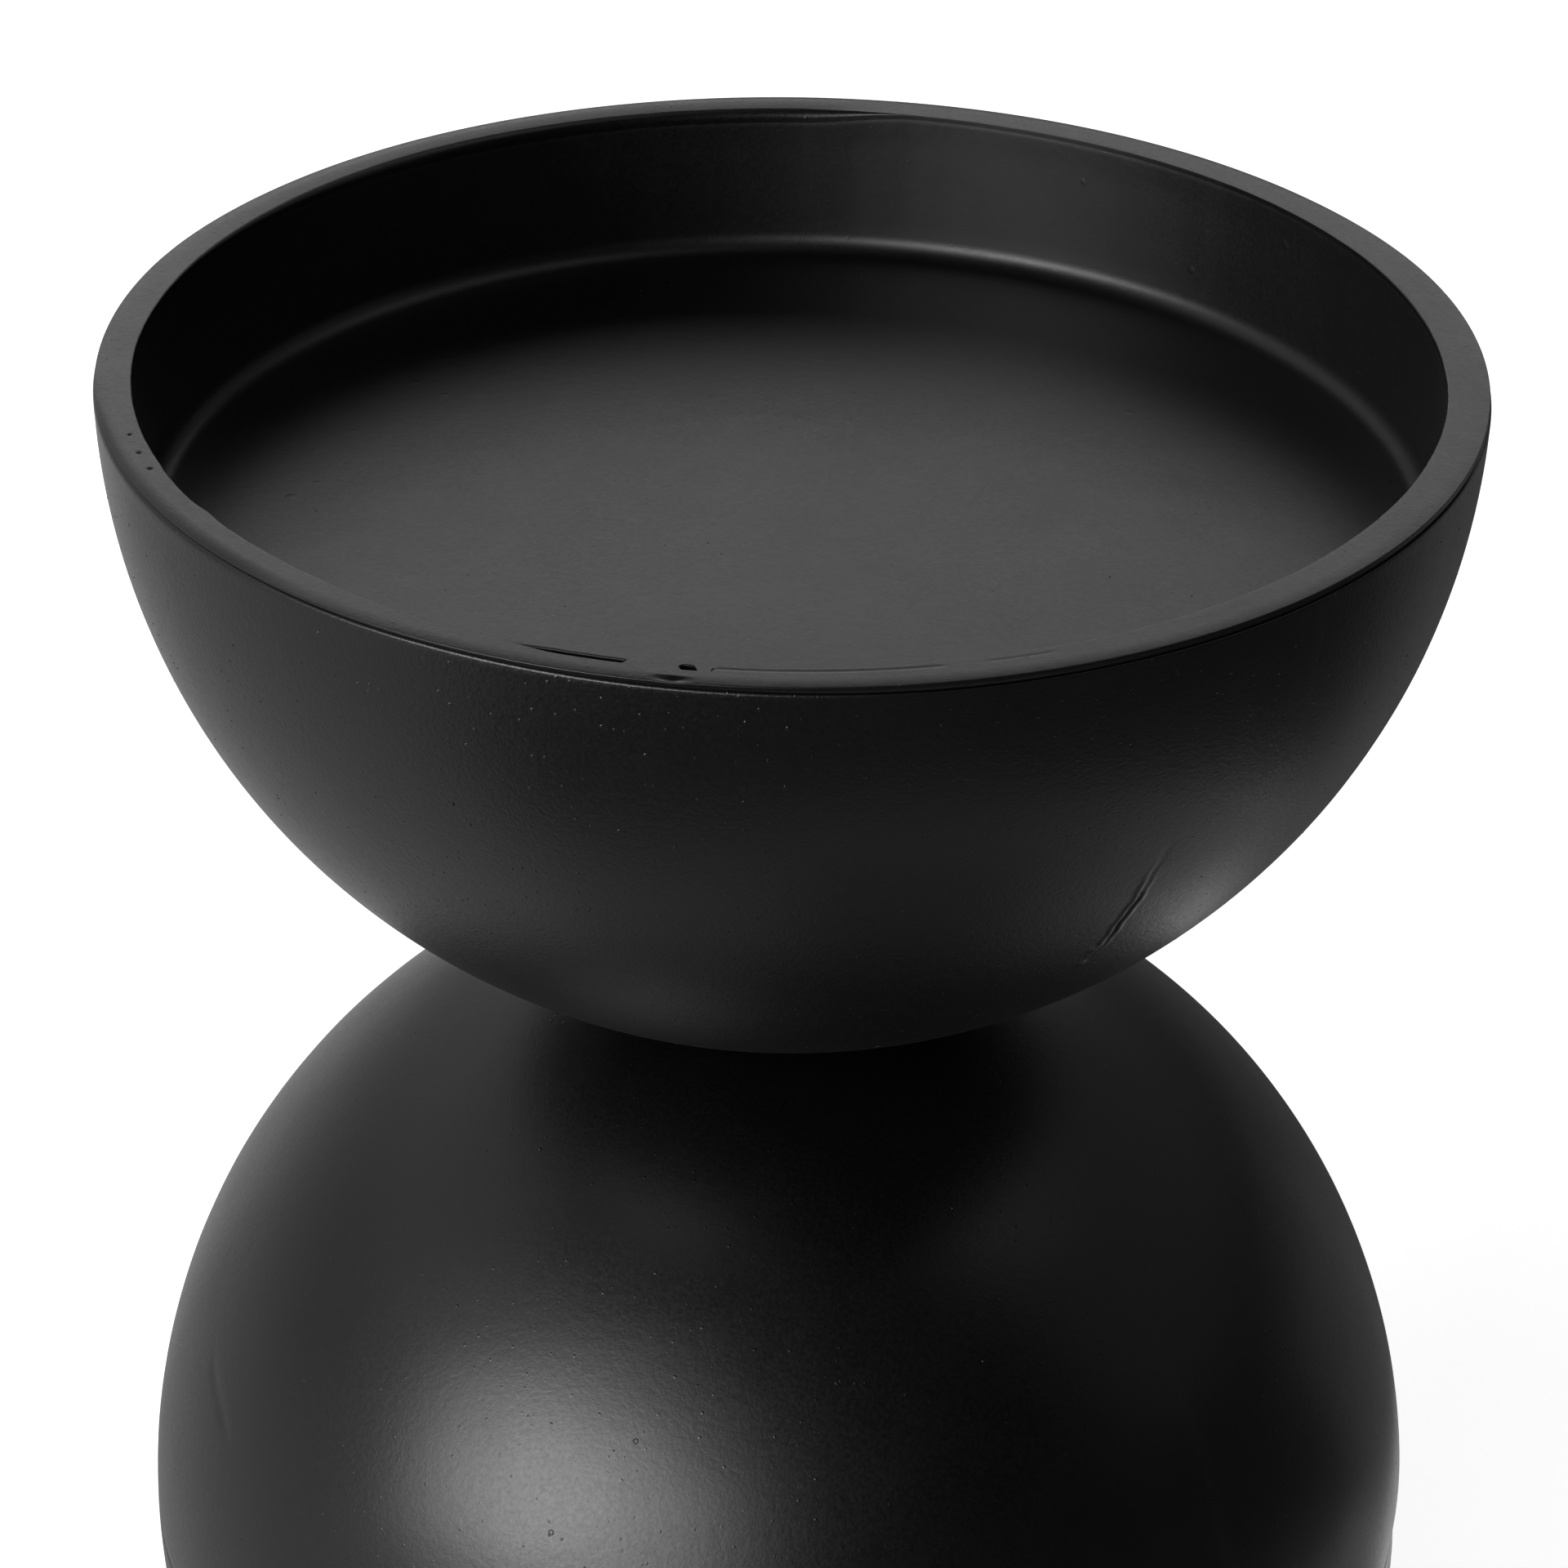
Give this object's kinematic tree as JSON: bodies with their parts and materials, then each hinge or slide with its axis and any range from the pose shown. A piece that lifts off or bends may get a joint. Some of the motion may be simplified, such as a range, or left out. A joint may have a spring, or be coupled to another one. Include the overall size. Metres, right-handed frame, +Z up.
{
  "type": "pillar candle holder",
  "caption": "Black pillar candle holder: a half-round bowl with a shallow flat recess for the candle, standing on a ball of the same width with a small flat foot.",
  "frame": {"origin": "centre of the foot pad's underside, at the lowest point of the holder", "axes": "+Z up along the axis that bowl and ball are turned about; X and Y are alike"},
  "size_m": [0.1, 0.1, 0.145],
  "materials": {
    "black_powder_coat": "matt black powder coat with a fine satin grain",
    "plain_steel": "uncoated pressed sheet steel",
    "zinc_plate": "bright zinc plate",
    "cast_iron": "rough casting",
    "black_rubber": "smooth matt rubber sheet"
  },
  "bodies": {
    "root": {"bowl_shell": "black_powder_coat", "rim_ring": "black_powder_coat", "recess_pan": "black_powder_coat", "neck_washer": "black_powder_coat", "ball_upper_shell": "black_powder_coat", "ball_lower_shell": "black_powder_coat", "equator_band": "plain_steel", "ballast_weight": "cast_iron", "base_plate": "plain_steel", "foot_pad": "black_rubber", "bowl_washer": "zinc_plate", "bowl_lock_washer": "zinc_plate", "bowl_nut": "zinc_plate", "base_washer": "zinc_plate", "base_lock_washer": "zinc_plate", "base_nut": "zinc_plate", "tie_rod": "zinc_plate"}
  },
  "joints": []
}
